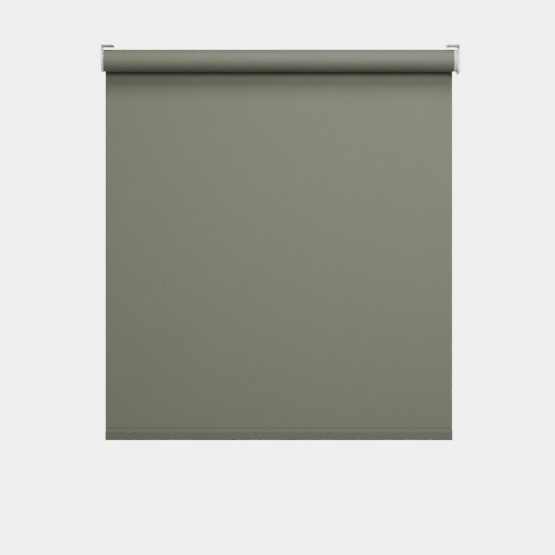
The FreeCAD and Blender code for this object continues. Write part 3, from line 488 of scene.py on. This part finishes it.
def wound_cloth(name, turn0, turn1, radius, pitch, thickness, body):
    path = wound_path(turn0, turn1, radius - thickness / 2, pitch)
    normals = -path_normals(path)
    lengths = path_lengths(path)

    def shift(i, x):
        turns = turn0 + (turn1 - turn0) * i / (len(path) - 1)
        at_end = max(0.0, abs(2 * (x - WIDTH_X0) / (WIDTH_X1 - WIDTH_X0) - 1) * 60 - 59)
        inward = -1 if x > 0 else 1
        stray = abs(wander(turns, 1.0 if x < 0 else 2.3)) * min(1.0, turns / EDGE_EASE)
        return inward * stray * at_end, 0.0

    piece = strip_shell(name, path, normals, thickness, width_samples(40 * MM, 14 * MM, 2 * MM), shift,
                        -lengths)
    piece.data.materials.append(MATERIALS["blind_fabric"])
    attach(piece, body)
    return piece


def hang_shift(x, share):
    """How far the hanging cloth stands off its plane, towards the room: none by the roll and the hem."""
    free = min(1.0, 12 * share) * min(1.0, 12 * (1 - share))
    from_edge = min(x - WIDTH_X0, WIDTH_X1 - x)
    curl = EDGE_CURL * max(0.0, 1 - from_edge / CURL_WIDTH) ** 2
    ripple = 0.1 * MM * sin(2 * pi * x / 0.23 + 0.7) + 0.06 * MM * sin(2 * pi * x / 0.097)
    return free * (ripple - curl)


def hanging_cloth(name, top, bottom, thickness, rows, body, inset=0.0):
    """A flat hanging stretch of cloth, between two heights, with each side edge moved in by inset."""
    centre_y = (DROP_LO.y + DROP_HI.y) / 2
    heights = np.linspace(top, bottom, rows)
    path = [(centre_y, z) for z in heights]
    normals = [(-1.0, 0.0)] * rows

    def shift(i, x):
        across = 2 * (x - WIDTH_X0) / (WIDTH_X1 - WIDTH_X0) - 1
        return -inset * across, hang_shift(x, (DROP_HI.z - heights[i]) / DROP_LENGTH)

    piece = strip_shell(name, path, normals, thickness, width_samples(9 * MM), shift, DROP_HI.z - heights)
    piece.data.materials.append(MATERIALS["blind_fabric"])
    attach(piece, body)
    return piece


def hem_path():
    """Section of the hem's cloth: down the back, round the bar, up the front, and over to the weld."""
    half = CLOTH / 2
    back, front = DROP_HI.y - half, HEM_LO.y + half
    r = (back - front) / 2
    low = HEM_LO.z + half + 0.9 * r
    path = [(back, z) for z in np.linspace(HEM_HI.z, low, 12)]
    path += [(back - r + r * cos(pi * k / 16), low - 0.9 * r * sin(pi * k / 16)) for k in range(1, 17)]
    bar_r = (BAR_HI.y - BAR_LO.y) / 2
    centre = (BAR_LO.y + bar_r, BAR_HI.z - bar_r)
    over = centre[0] - front  # radius at which the cloth goes round the bar's top corner
    path += [(front, z) for z in np.linspace(low, centre[1], 14)[1:]]
    for k in range(1, 10):
        a = SHOULDER_LEAN * k / 9
        path.append((centre[0] - over * cos(a), centre[1] + over * sin(a)))
    seam = (back - CLOTH, HEM_HI.z - WELD)
    y, z = path[-1]
    bend = (seam[0], z + (seam[0] - y) / tan(SHOULDER_LEAN))
    for share in np.linspace(0, 1, 15)[1:]:
        a, b, c = (1 - share) ** 2, 2 * share * (1 - share), share ** 2
        path.append((a * y + b * bend[0] + c * seam[0], a * z + b * bend[1] + c * seam[1]))
    path += [(seam[0], z) for z in np.linspace(seam[1], HEM_HI.z, 7)[1:]]
    return path


def hem_cloth():
    """The hem pocket, with a welded line of small dashes along its top."""
    path = hem_path()
    normals = path_normals(path)
    lengths = path_lengths(path)
    total = lengths[-1]
    weld_centre, weld_half, dash = total - WELD / 2, 0.6 * MM, 2.4 * MM

    def shift(i, x):
        in_weld = max(0.0, 1 - abs(lengths[i] - weld_centre) / weld_half)
        dashes = 0.5 + 0.5 * cos(2 * pi * x / dash)
        ease = 0.05 * MM * sin(2 * pi * x / 0.17 + 1.0) * sin(pi * lengths[i] / total)
        return 0.0, ease - 0.06 * MM * in_weld * dashes

    piece = strip_shell("hem_cloth", path, normals, CLOTH * 0.98, width_samples(1.5 * MM, 6 * MM, 1.5 * MM),
                        shift, DROP_LENGTH + lengths)
    # the hem takes the darker copy of the cloth: painted shade on its face
    piece.data.materials.append(HEM_CLOTH_PAINTED_SHADE)
    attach(piece, "hem")
    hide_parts("hem_pocket")
    return piece


def all_cloth():
    hem = hem_cloth()
    outer = wound_cloth("outer_turn", 0.0, OUTER_TURN, OUTER_R, TURN_PITCH, WOUND_CLOTH, "root")
    inner = wound_cloth("inner_turns", 1.0, 1.0 + TURNS_BELOW, INNER_R, INNER_PITCH, INNER_CLOTH, "roller")
    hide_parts("fabric_roll")
    drop = hanging_cloth("hanging_cloth", DROP_HI.z, DROP_LO.z, CLOTH, 110, "root")
    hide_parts("fabric_drop")
    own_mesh(drop)
    lining = hanging_cloth("spare_cloth", DROP_LO.z + LINING_LENGTH, DROP_LO.z, CLOTH / 2, 40, "hem",
                           inset=LINING_INSET)
    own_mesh(lining)


# ---------------------------------------------------------------- springs
def pin_spring():
    """The pin's coil spring, which shortens as the pin goes in."""
    lo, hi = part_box("idle_pin_spring")
    wire = 0.4 * MM
    coil = (hi.z - lo.z) / 2 - wire
    length = hi.x - lo.x - 2 * wire
    points = helix((lo.x + wire, AXIS.y, AXIS.z), (1, 0, 0), (0, 0, 1), coil, length, 9)
    piece = tube_mesh("pin_spring", list(points), wire)
    piece.data.materials.append(MATERIALS["spring_steel"])
    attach(piece, "roller")
    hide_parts("idle_pin_spring")
    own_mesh(piece)


def latch_spring_pair():
    lo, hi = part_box("latch_springs")
    wire = 0.175 * MM
    coil = (hi.x - lo.x) / 2 - wire
    length = hi.z - lo.z - 2 * wire
    pair = []
    for y in (lo.y + wire + coil, hi.y - wire - coil):
        points = helix(((lo.x + hi.x) / 2, y, lo.z + wire), (0, 0, 1), (1, 0, 0), coil, length, 8, 14)
        pair.append(tube_mesh("latch_spring", list(points), wire, 8))
    piece = joined(pair, "latch_spring_pair")
    piece.data.materials.append(MATERIALS["spring_steel"])
    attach(piece, "root")
    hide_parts("latch_springs")
    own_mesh(piece)


# ---------------------------------------------------------------- camera, light and floor
CAMERA_DISTANCE = 4.017  # from the roller axis, towards the room
CAMERA_DROP = 0.5153  # below the roller axis
CAMERA_X = -0.0067
SENSOR, LENS = 36.0, 109.6
FLOOR_GAP = 0.8  # below the hem
FLOOR_R = 3.2
FADE_FROM, FADE_TO = 0.6, 0.98  # shares of the floor's radius between which it fades out
AMBIENT, BACKDROP = 0.35, 6.2  # strengths of the world for light and for the camera


def camera():
    data = bpy.data.cameras.new("camera")
    data.sensor_width, data.lens = SENSOR, LENS
    cam = bpy.data.objects.new("camera", data)
    cam.location = (CAMERA_X, AXIS.y - CAMERA_DISTANCE, AXIS.z - CAMERA_DROP)
    cam.rotation_euler = (pi / 2, 0, 0)
    bpy.context.scene.collection.objects.link(cam)
    bpy.context.scene.camera = cam


def softbox(name, target, azimuth, elevation, distance, size, power, spread=180):
    """An area light that faces a target. Azimuth 0 is straight in front, and 90 is to the right."""
    data = bpy.data.lights.new(name, "AREA")
    data.shape, data.size, data.size_y, data.energy = "RECTANGLE", size[0], size[1], power
    data.spread = radians(spread)
    a, e = radians(azimuth), radians(elevation)
    towards = Vector((sin(a) * cos(e), -cos(a) * cos(e), sin(e)))
    light = bpy.data.objects.new(name, data)
    light.location = Vector(target) + towards * distance
    light.rotation_euler = towards.to_track_quat("Z", "Y").to_euler()
    bpy.context.scene.collection.objects.link(light)


def world():
    """A bright backdrop for the camera, and a dimmer even light of the same colour for everything else."""
    made = bpy.data.worlds.new("studio")
    made.use_nodes = True
    nodes, links = made.node_tree.nodes, made.node_tree.links
    background = nodes["Background"]
    background.inputs["Color"].default_value = (*linear(240, 241, 241), 1.0)
    rays = nodes.new("ShaderNodeLightPath")
    strength = nodes.new("ShaderNodeMapRange")
    strength.inputs["To Min"].default_value = AMBIENT
    strength.inputs["To Max"].default_value = BACKDROP
    links.new(rays.outputs["Is Camera Ray"], strength.inputs["Value"])
    links.new(strength.outputs["Result"], background.inputs["Strength"])
    bpy.context.scene.world = made


def floor():
    """A pale round floor that fades out towards its rim."""
    bpy.ops.mesh.primitive_circle_add(vertices=96, radius=FLOOR_R, fill_type="NGON",
                                      location=(0, 0, CAD_LO.z - FLOOR_GAP))
    disc = bpy.context.object
    disc.name = "floor"
    g = Graph("floor_paint", 0.6, Specular_IOR_Level=0.2)
    g.shaded(g.spread(g.noise(g.place, 3, 4.0), 0.0, 1.0), linear(236, 236, 235), 0.01)
    length = g.node("ShaderNodeVectorMath", operation="LENGTH")
    g.link(g.place, length.inputs[0])
    fade = g.spread(length.outputs["Value"], 1.0, 0.0, FADE_FROM * FLOOR_R, FADE_TO * FLOOR_R)
    g.link(fade, g.shader.inputs["Alpha"])
    disc.data.materials.append(g.material)


def studio():
    world()
    # name, target, azimuth, elevation, distance, size, power in watts, spread in degrees
    softbox("key", (0.22, 0, -0.27), 14, 12, 3.2, (2.0, 1.2), 14, 60)
    softbox("high", (0.2, 0, -0.3), 8, 50, 3.0, (2.2, 1.2), 22, 70)
    softbox("back", (0, 0, -0.45), 168, 14, 3.2, (2.2, 1.6), 42)
    floor()


camera()
dress_frame()
all_cloth()
pin_spring()
latch_spring_pair()
studio()
